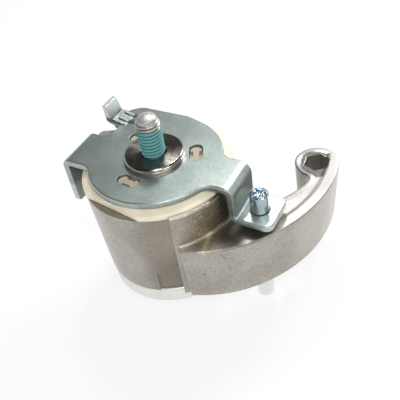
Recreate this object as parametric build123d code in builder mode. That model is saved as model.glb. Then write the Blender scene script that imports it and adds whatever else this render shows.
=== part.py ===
from build123d import *
from math import atan2, cos, degrees, hypot, radians, sin, sqrt
import os

# Spring-loaded timing belt tensioner with its lock pin in place.
# Origin: the bolt axis, where it leaves the flange's seating face. +Z points along the bolt's thread, into the
# engine. +X runs from the bolt towards the hexagon boss at the arm's end. Millimetres.

# Bolt, M8
bolt_d = 8.0
bolt_shank_d = 7.2
bolt_reach = 14.0
bolt_dome = 0.8
dog_point_d = 6.2
dog_point_length = 1.3
bolt_flange_d = 17.0
bolt_flange_t = 2.2
bolt_hex_af = 13.0
bolt_head_height = 9.5

# Pivot shaft
shaft_d = 13.0
shaft_bore_clearance = 0.25
flange_d = 20.0
flange_t = 2.3
flange_chamfer = 0.45
spigot_shoulder = 1.0
rivet_overhang = 2.7
rivet_t = 1.25

# Base plate, of one sheet, in its own directions: n across the bends, d along them
sheet_t = 2.3
plate_turn = -34.03
plate_inset = 2.65
sheet_top_edge_r = 0.6
sheet_edge_r = 0.4
bend_r = 0.6
seat_clearance = 0.02
tab_clearance = 1.1
tab_low_d = -11.9
tab_high_d = 3.8
tab_bottom_z = -21.1
tab_corner_r = 1.5
notch_r = 2.6
neck_low_d = 11.6
neck_high_d = 18.3
ear_overhang = 0.9
ear_corner_n = -16.5
ear_corner_r = 7.4
finger_overhang = 2.0
finger_rise = 1.3
finger_height = 5.0
finger_lean = 1.3
finger_tip_t = 1.4
bracket_clearance = 2.1
bracket_bend_r = 1.4
bracket_low_d = -6.2
bracket_high_d = 7.8
web_fillet_r = 5.0
foot_reach = 11.9
foot_top_z = -14.0
foot_low_d = -7.2
foot_high_d = 7.2
foot_corner_r = 2.6
rib_lines_d = (14.0, 17.6)
rib_w = 1.3
rib_rise = 0.3
rib_start_n = -16.0
rib_end_gap = 1.6

# Slots in the plate, unevenly spaced so that the plastic bush's clips go in one way only
slot_angles = (-7.0, 107.0, -133.0)
slot_ring_r = 13.5
slot_length = 8.4
slot_width = 4.6
clip_clearance = 0.3
clip_neck_length = 3.2
clip_neck_depth = 1.25
clip_below_plate_top = 0.8

# Plastic spring bush
bush_rim_overhang = 0.15
bush_flange_t = 2.4
bush_rim_edge = 0.65
bush_bead_w = 0.95
bush_bead_rise = 0.95
bush_flat_inset = 2.45
bush_flat_angle = -132.7
bush_skirt_depth = 6.5
bush_skirt_t = 1.6
bush_core_t = 1.6

# Drum and arm casting
drum_top_r = 25.1
drum_draft = 1.4
drum_wall = 2.9
drum_floor_t = 3.6
drum_bottom_z = -42.5
rim_gap = 0.2
thick_build = 1.7
thick_first_angle = -86.0
thick_last_angle = -9.0
lip_gap = 0.2
lip_rise = 0.9
lip_round = 0.6
arm_top_z = -18.5
arm_bottom_rise = 1.0
arm_draft = 3.0
arm_back_build = 23.8
arm_back_x = 15.3
arm_back_y = 19.5
arm_nose_build = 14.7
arm_nose_angle = -82.8
arm_root_angle = -109.0
arm_root_corner_r = 1.2
boss_r = 7.7
boss_angle = -23.6
arm_hollow_r = 28.7
arm_hollow_shift = 3.0
arm_hollow_y = 14.65
boss_neck_r = 2.6
key_af = 8.0
key_turn = 3.9
arm_fillet_r = 1.2
arm_edge = 0.4
arm_land_w = 3.3
dish_margin = 0.65
dish_root_gap = 1.2
dish_depth = 0.3
dish_slope = 78.0
pocket_clearance = 0.15
pocket_run_angle = 60.0
relief_depth = 1.2
relief_first_angle = -105.5
relief_height = 9.0
stop_build = 5.9
stop_root_angle = 112.0
stop_shoulder_angle = 120.0
stop_face_angle = 130.0
stop_top_z = -6.4
stop_height = 13.0
stop_corner_r = 1.0

# Bush, hub and washer inside the drum
bush_run_clearance = 0.05
pivot_bush_wall = 1.5
hub_wall = 3.0
hub_washer_t = 1.0
hub_washer_inset = 0.25
end_float = 0.1

# Torsion spring
wire_d = 4.0
coil_count = 5
spring_clearance = 0.35

# Friction lining and front disc
lining_t = 1.3
lining_hub_gap = 1.55
lining_outer_inset = 0.4
groove_clearance = 0.3
lining_float = 0.05
disc_inset = 0.4
disc_t = 1.9
disc_rim_depth = 5.8
disc_edge_r = 0.7
disc_gap = 0.35

# Lock pin
pin_d = 6.0
pin_ring_build = 9.8
pin_angle = -34.3
pin_top_z = -7.0
pin_chamfer = 0.5
pin_tail_round = 1.6
pin_hole_clearance = 0.35

# Levels along the bolt's axis, from the engine face down
plate_top_z = -flange_t
plate_bottom_z = plate_top_z - sheet_t
bush_bottom_z = plate_bottom_z - bush_flange_t
drum_rim_z = bush_bottom_z - rim_gap
lip_top_z = drum_rim_z + lip_rise
core_bottom_z = bush_bottom_z - bush_core_t
washer_bottom_z = core_bottom_z - hub_washer_t
hub_top_z = washer_bottom_z - end_float
drum_floor_z = drum_bottom_z + drum_floor_t
arm_bottom_z = drum_bottom_z + arm_bottom_rise
disc_top_z = drum_bottom_z - disc_gap
disc_bottom_z = disc_top_z - disc_t
disc_rim_z = disc_top_z - disc_rim_depth
lining_top_z = disc_top_z + lining_t
shaft_end_z = disc_bottom_z - rivet_t
floor_z = shaft_end_z - bolt_head_height

# Radii from the shaft outwards
shaft_r = shaft_d / 2
bore_r = bolt_d / 2 + shaft_bore_clearance
spigot_r = shaft_r - spigot_shoulder
rivet_r = spigot_r + rivet_overhang
pivot_bush_inner_r = shaft_r + bush_run_clearance
pivot_bush_outer_r = pivot_bush_inner_r + pivot_bush_wall
hub_r = pivot_bush_outer_r + hub_wall
hub_washer_r = hub_r - hub_washer_inset
lining_inner_r = hub_r + lining_hub_gap
drum_bottom_r = drum_top_r - drum_draft
drum_inner_r = drum_bottom_r - drum_wall
lining_outer_r = drum_inner_r - lining_outer_inset
disc_r = drum_bottom_r - disc_inset
thick_r = drum_top_r + thick_build
stop_reach = drum_top_r + stop_build
bush_rim_r = drum_top_r + bush_rim_overhang
bush_flat_distance = bush_rim_r - bush_flat_inset
skirt_outer_r = drum_inner_r - spring_clearance
skirt_inner_r = skirt_outer_r - bush_skirt_t
coil_r = skirt_inner_r - spring_clearance - wire_d / 2

# Plate outline around the drum
plate_r = bush_rim_r - plate_inset
tab_inner_n = -thick_r - tab_clearance
bracket_outer_n = thick_r + bracket_clearance + sheet_t
foot_end_n = bracket_outer_n + foot_reach
ear_high_d = plate_r + ear_overhang
finger_bend_n = -plate_r - finger_overhang

# Arm plan: the boss lies inside the back's arc and touches it, and so does the nose's arc
arm_back_r = thick_r + arm_back_build
arm_nose_r = thick_r + arm_nose_build
arm_hollow_x = thick_r + arm_hollow_shift
boss_x = arm_back_x + (arm_back_r - boss_r) * cos(radians(boss_angle))
boss_y = arm_back_y + (arm_back_r - boss_r) * sin(radians(boss_angle))
nose_x = arm_back_x + (arm_back_r - arm_nose_r) * cos(radians(arm_nose_angle))
nose_y = arm_back_y + (arm_back_r - arm_nose_r) * sin(radians(arm_nose_angle))

# Pin axis, and the pocket in the arm that leaves the pin when the arm swings away from it
pin_ring_r = thick_r + pin_ring_build
pin_x = pin_ring_r * cos(radians(pin_angle))
pin_y = pin_ring_r * sin(radians(pin_angle))
pocket_r = pin_d / 2 + pocket_clearance
pin_hole_r = pin_d / 2 + pin_hole_clearance

# Directions of the plate's bends
across = (cos(radians(plate_turn)), sin(radians(plate_turn)), 0)
along = (-sin(radians(plate_turn)), cos(radians(plate_turn)), 0)


def plate_level(z):
    """Horizontal plane at height z, turned so that x is across the plate's bends and y along them."""
    return Plane(origin=(0, 0, z), x_dir=across, z_dir=(0, 0, 1))


def bend_section(d):
    """Upright plane at distance d along the bends, with x across them and y up. It faces back along them."""
    origin = (along[0] * d, along[1] * d, 0)
    return Plane(origin=origin, x_dir=across, z_dir=(-along[0], -along[1], 0))


def half_plane(angle):
    """Upright plane through the bolt axis at an angle in degrees, with x outwards and y up."""
    out = (cos(radians(angle)), sin(radians(angle)), 0)
    return Plane(origin=(0, 0, 0), x_dir=out, z_dir=(out[1], -out[0], 0))


def polar(radius, angle):
    """Point at a radius about the bolt axis and an angle in degrees."""
    return (radius * cos(radians(angle)), radius * sin(radians(angle)))


def on_circle(x, y, radius, angle):
    """Point of a circle about (x, y), at an angle in degrees."""
    return (x + radius * cos(radians(angle)), y + radius * sin(radians(angle)))


def angle_from(x, y, point):
    """Angle in degrees of a point seen from (x, y)."""
    return degrees(atan2(point[1] - y, point[0] - x))


def circles_meet(x1, y1, r1, x2, y2, r2, side):
    """Point where two circles meet, left (1) or right (-1) of the way from the first centre to the second."""
    apart = hypot(x2 - x1, y2 - y1)
    reach = (r1**2 - r2**2 + apart**2) / (2 * apart)
    aside = side * sqrt(r1**2 - reach**2)
    ux = (x2 - x1) / apart
    uy = (y2 - y1) / apart
    return (x1 + ux * reach - uy * aside, y1 + uy * reach + ux * aside)


# Base plate: a strip with its three bends, cut to the plan outline
mid_t = sheet_t / 2
strip_z = plate_top_z - mid_t
tab_n = tab_inner_n - mid_t
bracket_n = bracket_outer_n - mid_t
foot_z = foot_top_z - mid_t
strip_reach = 30.0
cut_height = 60.0

with BuildPart() as strip:
    with BuildSketch(bend_section(strip_reach)):
        with BuildLine():
            FilletPolyline(
                (tab_n, tab_bottom_z),
                (tab_n, strip_z),
                (bracket_n, strip_z),
                (bracket_n, foot_z),
                (foot_end_n, foot_z),
                radius=[bend_r + mid_t, bracket_bend_r + mid_t, bend_r + mid_t],
            )
        trace(line_width=sheet_t)
    extrude(amount=2 * strip_reach)

tab_outer_n = tab_inner_n - sheet_t
ear_left_n = ear_corner_n - ear_corner_r
ear_tangent = degrees(atan2(sqrt(ear_high_d**2 - plate_r**2), plate_r))
tab_meet_n = -sqrt(plate_r**2 - tab_low_d**2)
notch_low_n = -sqrt(plate_r**2 - tab_high_d**2)
notch_high_n = -sqrt(plate_r**2 - neck_low_d**2)
bracket_low_n = sqrt(plate_r**2 - bracket_low_d**2)
bracket_high_n = sqrt(plate_r**2 - bracket_high_d**2)

with BuildPart() as plan_block:
    with BuildSketch(plate_level(-cut_height / 2)) as plan:
        Circle(plate_r)
        with BuildLine():
            Polyline((tab_outer_n, tab_low_d), (0, tab_low_d), (0, tab_high_d), (tab_outer_n, tab_high_d), close=True)
        make_face()
        with BuildLine():
            Polyline(
                (0, bracket_low_d),
                (foot_end_n, foot_low_d),
                (foot_end_n, foot_high_d),
                (0, bracket_high_d),
                close=True,
            )
        make_face()
        with BuildLine():
            Polyline(
                (ear_left_n, neck_low_d),
                (0, neck_low_d),
                polar(plate_r, 90 - ear_tangent),
                (0, ear_high_d),
                (ear_left_n, ear_high_d),
                close=True,
            )
        make_face()
        fillet(plan.vertices().sort_by_distance((ear_left_n, ear_high_d))[0], ear_corner_r)
        fillet(plan.vertices().sort_by_distance((foot_end_n, foot_low_d))[0], foot_corner_r)
        fillet(plan.vertices().sort_by_distance((foot_end_n, foot_high_d))[0], foot_corner_r)
        fillet(plan.vertices().sort_by_distance((tab_outer_n, tab_high_d))[0], tab_corner_r)
        fillet(plan.vertices().sort_by_distance((tab_meet_n, tab_low_d))[0], web_fillet_r)
        fillet(plan.vertices().sort_by_distance((bracket_low_n, bracket_low_d))[0], web_fillet_r)
        fillet(plan.vertices().sort_by_distance((bracket_high_n, bracket_high_d))[0], web_fillet_r)
        fillet(plan.vertices().sort_by_distance((notch_low_n, tab_high_d))[0], notch_r)
        fillet(plan.vertices().sort_by_distance((notch_high_n, neck_low_d))[0], notch_r)
    extrude(amount=cut_height)

# Finger: the neck rises from the plate, then the sheet turns up and thins to its coined tip
neck_start_n = ear_corner_n - 2.5
crease_z = plate_top_z + finger_rise
tip_z = crease_z + finger_height
tip_n = finger_bend_n - finger_lean
heel_z = crease_z - 0.75 * sheet_t
with BuildPart() as finger:
    with BuildSketch(bend_section(neck_high_d)) as finger_side:
        with BuildLine():
            Polyline(
                (neck_start_n, plate_bottom_z),
                (neck_start_n, plate_top_z),
                (finger_bend_n, crease_z),
                (tip_n, tip_z),
                (tip_n - finger_tip_t, tip_z),
                (finger_bend_n - sheet_t, heel_z),
                close=True,
            )
        make_face()
        fillet(finger_side.vertices().sort_by_distance((finger_bend_n, crease_z))[0], bend_r)
        fillet(finger_side.vertices().sort_by_distance((finger_bend_n - sheet_t, heel_z))[0], bend_r + mid_t)
    extrude(amount=neck_high_d - neck_low_d)

# Ribs: two low pressed beads from the plate into the finger's bend, which they stiffen
with BuildPart() as ribs:
    for rib_d in rib_lines_d:
        with BuildSketch(bend_section(rib_d + rib_w / 2)):
            with BuildLine():
                Polyline(
                    (rib_start_n, plate_top_z),
                    (rib_start_n - 2 * rib_rise, plate_top_z + rib_rise),
                    (neck_start_n, plate_top_z + rib_rise),
                    (finger_bend_n + rib_end_gap + rib_rise, crease_z - 0.15 * rib_end_gap + rib_rise),
                    (finger_bend_n + rib_end_gap, crease_z - 0.15 * rib_end_gap - rib_rise),
                    (neck_start_n, plate_top_z - mid_t),
                    (rib_start_n, plate_top_z - mid_t),
                    close=True,
                )
            make_face()
        extrude(amount=rib_w)
    top_sides = ribs.edges().filter_by(lambda e: abs(e.tangent_at(0.5).dot(Vector(*along))) < 0.01)
    fillet(top_sides.group_by(Axis.Z)[-1], 0.8 * rib_rise)

with BuildPart() as base_plate:
    add(strip.part)
    add(plan_block.part, mode=Mode.INTERSECT)
    add(finger.part)
    add(ribs.part)
    tab_end = base_plate.faces().filter_by(Axis.Z).sort_by_distance((tab_n * across[0], tab_n * across[1], tab_bottom_z))
    fillet(tab_end[0].edges().filter_by(lambda e: abs(e.tangent_at(0.5).dot(Vector(*across))) > 0.99), tab_corner_r)
    with BuildSketch(Plane.XY.offset(plate_top_z)):
        Circle(shaft_r + seat_clearance)
        for slot_angle in slot_angles:
            with Locations(Rotation(0, 0, slot_angle) * Pos(slot_ring_r, 0)):
                SlotOverall(slot_length, slot_width, rotation=90)
    extrude(amount=-sheet_t, mode=Mode.SUBTRACT)
    with BuildSketch(Plane.XY.offset(foot_top_z)):
        with Locations((pin_x, pin_y)):
            Circle(pin_hole_r)
    extrude(amount=-sheet_t, mode=Mode.SUBTRACT)
    upper_rim = base_plate.edges().filter_by_position(Axis.Z, plate_top_z - 0.01, plate_top_z + 0.01)
    ear_corner = plate_level(plate_top_z).from_local_coords((ear_left_n, ear_high_d))
    fillet([upper_rim.sort_by(SortBy.LENGTH)[-1], upper_rim.sort_by_distance(ear_corner)[0]], sheet_top_edge_r)
    lower_rim = base_plate.edges().filter_by_position(Axis.Z, plate_bottom_z - 0.01, plate_bottom_z + 0.01)
    fillet(lower_rim.sort_by(SortBy.LENGTH)[-1], sheet_edge_r)
base_plate.part.label = "base_plate"

# Pivot shaft: turned flange, hollow body, and a spigot that is riveted over under the front disc
with BuildPart() as pivot_shaft:
    with BuildSketch(Plane.XZ):
        with BuildLine():
            Polyline(
                (bore_r, shaft_end_z),
                (bore_r, 0),
                (flange_d / 2 - flange_chamfer, 0),
                (flange_d / 2, -flange_chamfer),
                (flange_d / 2, plate_top_z),
                (shaft_r, plate_top_z),
                (shaft_r, disc_top_z),
                (spigot_r, disc_top_z),
                (spigot_r, disc_bottom_z),
                (rivet_r, disc_bottom_z),
                (rivet_r, shaft_end_z),
                close=True,
            )
        make_face()
    revolve(axis=Axis.Z)
    chamfer(pivot_shaft.edges().filter_by(GeomType.CIRCLE).sort_by(Axis.Z)[0:2].sort_by(SortBy.RADIUS)[-1], 0.4)
pivot_shaft.part.label = "pivot_shaft"

# Plastic spring bush: rim disc with a flat, core for the washer, skirt for the spring, and three clips
with BuildPart() as spring_bush:
    with BuildSketch(Plane.XZ):
        with BuildLine():
            Polyline(
                (shaft_r + seat_clearance, plate_bottom_z),
                (shaft_r + seat_clearance, core_bottom_z),
                (hub_washer_r, core_bottom_z),
                (hub_washer_r + bush_core_t, bush_bottom_z),
                (skirt_inner_r, bush_bottom_z),
                (skirt_inner_r, bush_bottom_z - bush_skirt_depth),
                (skirt_outer_r, bush_bottom_z - bush_skirt_depth),
                (skirt_outer_r, bush_bottom_z),
                (bush_rim_r, bush_bottom_z),
                (bush_rim_r, bush_bottom_z + bush_rim_edge),
            )
            bead_foot = (bush_rim_r, bush_bottom_z + bush_rim_edge)
            bead_middle = (bush_rim_r - 0.3 * bush_bead_w, bead_foot[1] + 0.7 * bush_bead_rise)
            bead_top = (bush_rim_r - bush_bead_w, bead_foot[1] + bush_bead_rise)
            ThreePointArc(bead_foot, bead_middle, bead_top)
            Polyline(bead_top, (plate_r, plate_bottom_z), (shaft_r + seat_clearance, plate_bottom_z))
        make_face()
    revolve(axis=Axis.Z)
    with BuildSketch(half_plane(bush_flat_angle)):
        with Locations((bush_flat_distance, bush_bottom_z)):
            Rectangle(bush_rim_r, 2 * bush_flange_t, align=(Align.MIN, Align.CENTER))
    extrude(amount=bush_rim_r, both=True, mode=Mode.SUBTRACT)
    with BuildSketch(Plane.XY.offset(plate_bottom_z)):
        for slot_angle in slot_angles:
            with Locations(Rotation(0, 0, slot_angle) * Pos(slot_ring_r, 0)):
                SlotOverall(slot_length - 2 * clip_clearance, slot_width - 2 * clip_clearance, rotation=90)
            with Locations(Rotation(0, 0, slot_angle) * Pos(slot_ring_r + slot_width / 2, 0)):
                Rectangle(2 * clip_neck_depth, clip_neck_length, mode=Mode.SUBTRACT)
            with Locations(Rotation(0, 0, slot_angle) * Pos(slot_ring_r - slot_width / 2, 0)):
                Rectangle(2 * clip_neck_depth, clip_neck_length, mode=Mode.SUBTRACT)
    extrude(amount=sheet_t - clip_below_plate_top)
spring_bush.part.label = "spring_bush"

# Tension arm: a drafted drum with its hub and floor, the thick wall at the arm's root, and the crescent arm
groove_top_z = lining_top_z + lining_float
with BuildPart() as drum:
    with BuildSketch(Plane.XZ):
        with BuildLine():
            Polyline(
                (pivot_bush_outer_r, drum_bottom_z),
                (pivot_bush_outer_r, hub_top_z),
                (hub_r, hub_top_z),
                (hub_r, drum_floor_z),
                (drum_inner_r, drum_floor_z),
                (drum_inner_r, drum_rim_z),
                (drum_top_r, drum_rim_z),
                (drum_bottom_r, drum_bottom_z),
                (lining_outer_r + groove_clearance, drum_bottom_z),
                (lining_outer_r + groove_clearance, groove_top_z),
                (lining_inner_r - groove_clearance, groove_top_z),
                (lining_inner_r - groove_clearance, drum_bottom_z),
                close=True,
            )
        make_face()
    revolve(axis=Axis.Z)

draft_slope = (drum_top_r - drum_bottom_r) / (drum_rim_z - drum_bottom_z)


def drum_r_at(z):
    """Outer radius of the drafted drum at height z."""
    return drum_bottom_r + draft_slope * (z - drum_bottom_z)


wall_middle_r = drum_inner_r + drum_wall / 2
with BuildPart() as thick_wall:
    with BuildSketch(half_plane(thick_first_angle)):
        with BuildLine():
            Polyline(
                (wall_middle_r, arm_bottom_z),
                (wall_middle_r, drum_rim_z),
                (bush_rim_r + lip_gap, drum_rim_z),
                (bush_rim_r + lip_gap, lip_top_z),
                (thick_r - lip_round, lip_top_z),
                (thick_r - lip_round * (1 - sin(radians(45))), lip_top_z - lip_round * (1 - cos(radians(45)))),
                (thick_r, lip_top_z - lip_round),
                (thick_r, arm_bottom_z),
                close=True,
            )
        make_face()
    revolve(axis=Axis.Z, revolution_arc=thick_last_angle - thick_first_angle)

root_point = on_circle(nose_x, nose_y, arm_nose_r, arm_root_angle)
nose_middle = on_circle(nose_x, nose_y, arm_nose_r, (arm_root_angle + arm_nose_angle) / 2)
nose_end = on_circle(nose_x, nose_y, arm_nose_r, arm_nose_angle)
back_middle = on_circle(arm_back_x, arm_back_y, arm_back_r, (arm_nose_angle + boss_angle) / 2)
back_end = on_circle(arm_back_x, arm_back_y, arm_back_r, boss_angle)
neck_point = circles_meet(arm_hollow_x, arm_hollow_y, arm_hollow_r, boss_x, boss_y, boss_r, -1)
boss_far = on_circle(boss_x, boss_y, boss_r, boss_angle + 130)
inner_r = drum_inner_r + 0.4 * drum_wall
hollow_end = circles_meet(0, 0, inner_r, arm_hollow_x, arm_hollow_y, arm_hollow_r, -1)
hollow_from = angle_from(arm_hollow_x, arm_hollow_y, neck_point)
hollow_to = angle_from(arm_hollow_x, arm_hollow_y, hollow_end)
hollow_middle = on_circle(arm_hollow_x, arm_hollow_y, arm_hollow_r, (hollow_from + hollow_to) / 2)
drum_middle = on_circle(0, 0, inner_r, -58)
root_inner = polar(inner_r, angle_from(0, 0, root_point))
with BuildPart() as arm:
    with BuildSketch(Plane.XY.offset(arm_top_z)) as arm_plan:
        with BuildLine():
            ThreePointArc(root_point, nose_middle, nose_end)
            ThreePointArc(nose_end, back_middle, back_end)
            ThreePointArc(back_end, boss_far, neck_point)
            ThreePointArc(neck_point, hollow_middle, hollow_end)
            ThreePointArc(hollow_end, drum_middle, root_inner)
            Line(root_inner, root_point)
        make_face()
        fillet(arm_plan.vertices().sort_by_distance(neck_point)[0], boss_neck_r)
        fillet(arm_plan.vertices().sort_by_distance(root_point)[0], arm_root_corner_r)
    extrude(amount=arm_bottom_z - arm_top_z, taper=arm_draft)
    arm_rim = arm.edges().filter_by(lambda e: abs(e.center().Z - arm_top_z) < 0.01)
    fillet(arm_rim.sort_by(SortBy.LENGTH)[-1], arm_edge)

# Concave foot between the thick wall and the arm's top, kept inside the arm's outline
with BuildPart() as arm_foot:
    with BuildSketch(half_plane(thick_first_angle)):
        with BuildLine():
            Polyline(
                (thick_r + arm_fillet_r, arm_top_z),
                (wall_middle_r, arm_top_z),
                (wall_middle_r, arm_top_z + arm_fillet_r),
                (thick_r, arm_top_z + arm_fillet_r),
            )
            foot_centre = (thick_r + arm_fillet_r, arm_top_z + arm_fillet_r)
            ThreePointArc(
                (thick_r, arm_top_z + arm_fillet_r),
                on_circle(foot_centre[0], foot_centre[1], arm_fillet_r, 225),
                (thick_r + arm_fillet_r, arm_top_z),
            )
        make_face()
    revolve(axis=Axis.Z, revolution_arc=thick_last_angle - thick_first_angle)
    with BuildSketch(Plane.XY.offset(arm_top_z)):
        add(arm_plan.sketch)
        offset(amount=-arm_edge, mode=Mode.REPLACE)
    extrude(amount=arm_fillet_r, mode=Mode.INTERSECT)

# Stop lug: its flat flank meets the plate's tab when the arm passes its working range
with BuildPart() as stop_lug:
    with BuildSketch(Plane.XY.offset(stop_top_z)) as lug_plan:
        with BuildLine():
            Polyline(
                polar(wall_middle_r, stop_root_angle),
                polar(drum_top_r, stop_root_angle),
                polar((drum_top_r + stop_reach) / 2, stop_shoulder_angle),
                polar(stop_reach, stop_face_angle - 4),
                polar(stop_reach, stop_face_angle),
                polar(wall_middle_r, stop_face_angle),
                close=True,
            )
        make_face()
        fillet(lug_plan.vertices().sort_by_distance(polar(stop_reach, stop_face_angle - 4))[0], stop_corner_r)
    extrude(amount=-stop_height)
    with BuildSketch(Plane.XY.offset(stop_top_z)):
        Circle(bush_rim_r + lip_gap)
    extrude(amount=drum_rim_z - stop_top_z, mode=Mode.SUBTRACT)

with BuildPart() as tension_arm:
    add(drum.part)
    add(thick_wall.part)
    add(arm.part)
    add(arm_foot.part)
    add(stop_lug.part)
    with BuildSketch(Plane.XY.offset(arm_top_z)):
        with Locations((boss_x, boss_y)):
            RegularPolygon(key_af / 2, 6, major_radius=False, rotation=key_turn)
        with Locations((pin_x, pin_y)):
            Circle(pocket_r)
        with BuildLine():
            CenterArc((0, 0), pin_ring_r, pin_angle, pocket_run_angle)
        trace(line_width=2 * pocket_r)
    extrude(amount=arm_bottom_z - arm_top_z, mode=Mode.SUBTRACT)
    with BuildSketch(Plane.XY.offset(arm_top_z)):
        add(arm_plan.sketch)
        offset(amount=-dish_margin, mode=Mode.REPLACE)
        with Locations((arm_back_x, arm_back_y)):
            Circle(arm_back_r - arm_land_w, mode=Mode.INTERSECT)
        Circle(pin_ring_r + pocket_r + dish_root_gap, mode=Mode.SUBTRACT)
    extrude(amount=-dish_depth, taper=dish_slope, mode=Mode.SUBTRACT)
    with BuildSketch(half_plane(relief_first_angle)):
        with BuildLine():
            Polyline(
                (drum_bottom_r - relief_depth, drum_bottom_z),
                (drum_r_at(drum_bottom_z + relief_height) - relief_depth, drum_bottom_z + relief_height),
                (thick_r + 1, drum_bottom_z + relief_height),
                (thick_r + 1, drum_bottom_z),
                close=True,
            )
        make_face()
    revolve(axis=Axis.Z, revolution_arc=thick_first_angle - relief_first_angle, mode=Mode.SUBTRACT)
tension_arm.part.label = "tension_arm"

# Sliding bush, pressed into the hub
with BuildPart() as pivot_bush:
    with BuildSketch(Plane.XZ):
        with BuildLine():
            Polyline(
                (pivot_bush_inner_r, drum_bottom_z),
                (pivot_bush_inner_r, hub_top_z),
                (pivot_bush_outer_r, hub_top_z),
                (pivot_bush_outer_r, drum_bottom_z),
                close=True,
            )
        make_face()
    revolve(axis=Axis.Z)
pivot_bush.part.label = "pivot_bush"

# Thrust washer between the plastic bush's core and the hub
with BuildPart() as hub_washer:
    with BuildSketch(Plane.XY.offset(washer_bottom_z)):
        Circle(hub_washer_r)
        Circle(shaft_r + bush_run_clearance, mode=Mode.SUBTRACT)
    extrude(amount=hub_washer_t)
hub_washer.part.label = "hub_washer"

# Torsion spring between the plastic bush and the drum's floor
spring_lift = 0.2
helix_low_z = drum_floor_z + spring_lift + wire_d / 2
helix_high_z = bush_bottom_z - spring_lift - wire_d / 2
helix_rise = helix_high_z - helix_low_z
with BuildPart() as torsion_spring:
    with BuildLine():
        coil_line = Helix(pitch=helix_rise / coil_count, height=helix_rise, radius=coil_r, center=(0, 0, helix_low_z))
    with BuildSketch(Plane(origin=coil_line @ 0, z_dir=coil_line % 0)):
        Circle(wire_d / 2)
    sweep(is_frenet=True)
torsion_spring.part.label = "torsion_spring"

# Friction lining ring, lying on the front disc and rubbing in the drum's groove
with BuildPart() as friction_lining:
    with BuildSketch(Plane.XY.offset(disc_top_z)):
        Circle(lining_outer_r)
        Circle(lining_inner_r, mode=Mode.SUBTRACT)
    extrude(amount=lining_t)
friction_lining.part.label = "friction_lining"

# Front disc: a shallow pressed dish with its rim turned down
with BuildPart() as front_disc:
    with BuildSketch(Plane.XZ):
        with BuildLine():
            Polyline(
                (spigot_r + seat_clearance, disc_bottom_z),
                (spigot_r + seat_clearance, disc_top_z),
                (disc_r, disc_top_z),
                (disc_r, disc_rim_z),
                (disc_r - disc_t, disc_rim_z),
                (disc_r - disc_t, disc_bottom_z),
                close=True,
            )
        make_face()
    revolve(axis=Axis.Z)
    outer_bend = front_disc.edges().filter_by(GeomType.CIRCLE).filter_by(lambda e: abs(e.radius - disc_r) < 0.01)
    fillet(outer_bend.sort_by(Axis.Z)[-1], disc_edge_r)
front_disc.part.label = "front_disc"

# Mounting bolt: flanged hexagon head under the front disc, shank, and a bare domed dog point
dog_r = dog_point_d / 2
dome_z = bolt_reach - bolt_dome
dome_r = (dog_r**2 + bolt_dome**2) / (2 * bolt_dome)
dome_angle = degrees(atan2(dome_z - (bolt_reach - dome_r), dog_r))
with BuildPart() as mounting_bolt:
    with BuildSketch(Plane.XZ):
        with BuildLine():
            Polyline(
                (0, shaft_end_z - bolt_flange_t),
                (bolt_flange_d / 2, shaft_end_z - bolt_flange_t),
                (bolt_flange_d / 2, shaft_end_z),
                (bolt_shank_d / 2, shaft_end_z),
                (bolt_shank_d / 2, bolt_shank_d / 2 - bolt_d / 2),
                (bolt_d / 2, 0),
                (bolt_d / 2, dome_z - dog_point_length),
                (dog_r, dome_z - dog_point_length / 3),
                (dog_r, dome_z),
            )
            dome_middle = on_circle(0, bolt_reach - dome_r, dome_r, (dome_angle + 90) / 2)
            ThreePointArc((dog_r, dome_z), dome_middle, (0, bolt_reach))
            Line((0, bolt_reach), (0, shaft_end_z - bolt_flange_t))
        make_face()
    revolve(axis=Axis.Z)
    with BuildSketch(Plane.XY.offset(floor_z)):
        RegularPolygon(bolt_hex_af / 2, 6, major_radius=False)
    extrude(amount=bolt_head_height - bolt_flange_t)
    chamfer(mounting_bolt.faces().sort_by(Axis.Z)[0].edges(), 0.5)
mounting_bolt.part.label = "mounting_bolt"

# Lock pin: holds the arm against the spring until the belt is fitted
with BuildPart() as lock_pin:
    with BuildSketch(Plane.XY.offset(floor_z)):
        with Locations((pin_x, pin_y)):
            Circle(pin_d / 2)
    extrude(amount=pin_top_z - floor_z)
    chamfer(lock_pin.faces().sort_by(Axis.Z)[-1].edges(), pin_chamfer)
    fillet(lock_pin.faces().sort_by(Axis.Z)[0].edges(), pin_tail_round)
lock_pin.part.label = "lock_pin"

os.makedirs("parts", exist_ok=True)
export_step(base_plate.part, "parts/base_plate.step")
export_step(pivot_shaft.part, "parts/pivot_shaft.step")
export_step(spring_bush.part, "parts/spring_bush.step")
export_step(hub_washer.part, "parts/hub_washer.step")
export_step(torsion_spring.part, "parts/torsion_spring.step")
export_step(friction_lining.part, "parts/friction_lining.step")
export_step(front_disc.part, "parts/front_disc.step")
export_step(tension_arm.part, "parts/tension_arm.step")
export_step(pivot_bush.part, "parts/pivot_bush.step")
export_step(mounting_bolt.part, "parts/mounting_bolt.step")
export_step(lock_pin.part, "parts/lock_pin.step")
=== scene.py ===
"""Looks of a spring-loaded timing belt tensioner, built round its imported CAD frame.

Sizes are in millimetres unless a name ends in _m, and Blender itself works in metres. Every finish reads
its place on the part from object coordinates in millimetres, so its grain has the same size everywhere.
"""

import logging
import math
from dataclasses import dataclass
from enum import Enum
from functools import reduce
from typing import Any, Callable

import bmesh
import bpy
from mathutils import Matrix, Vector

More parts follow.
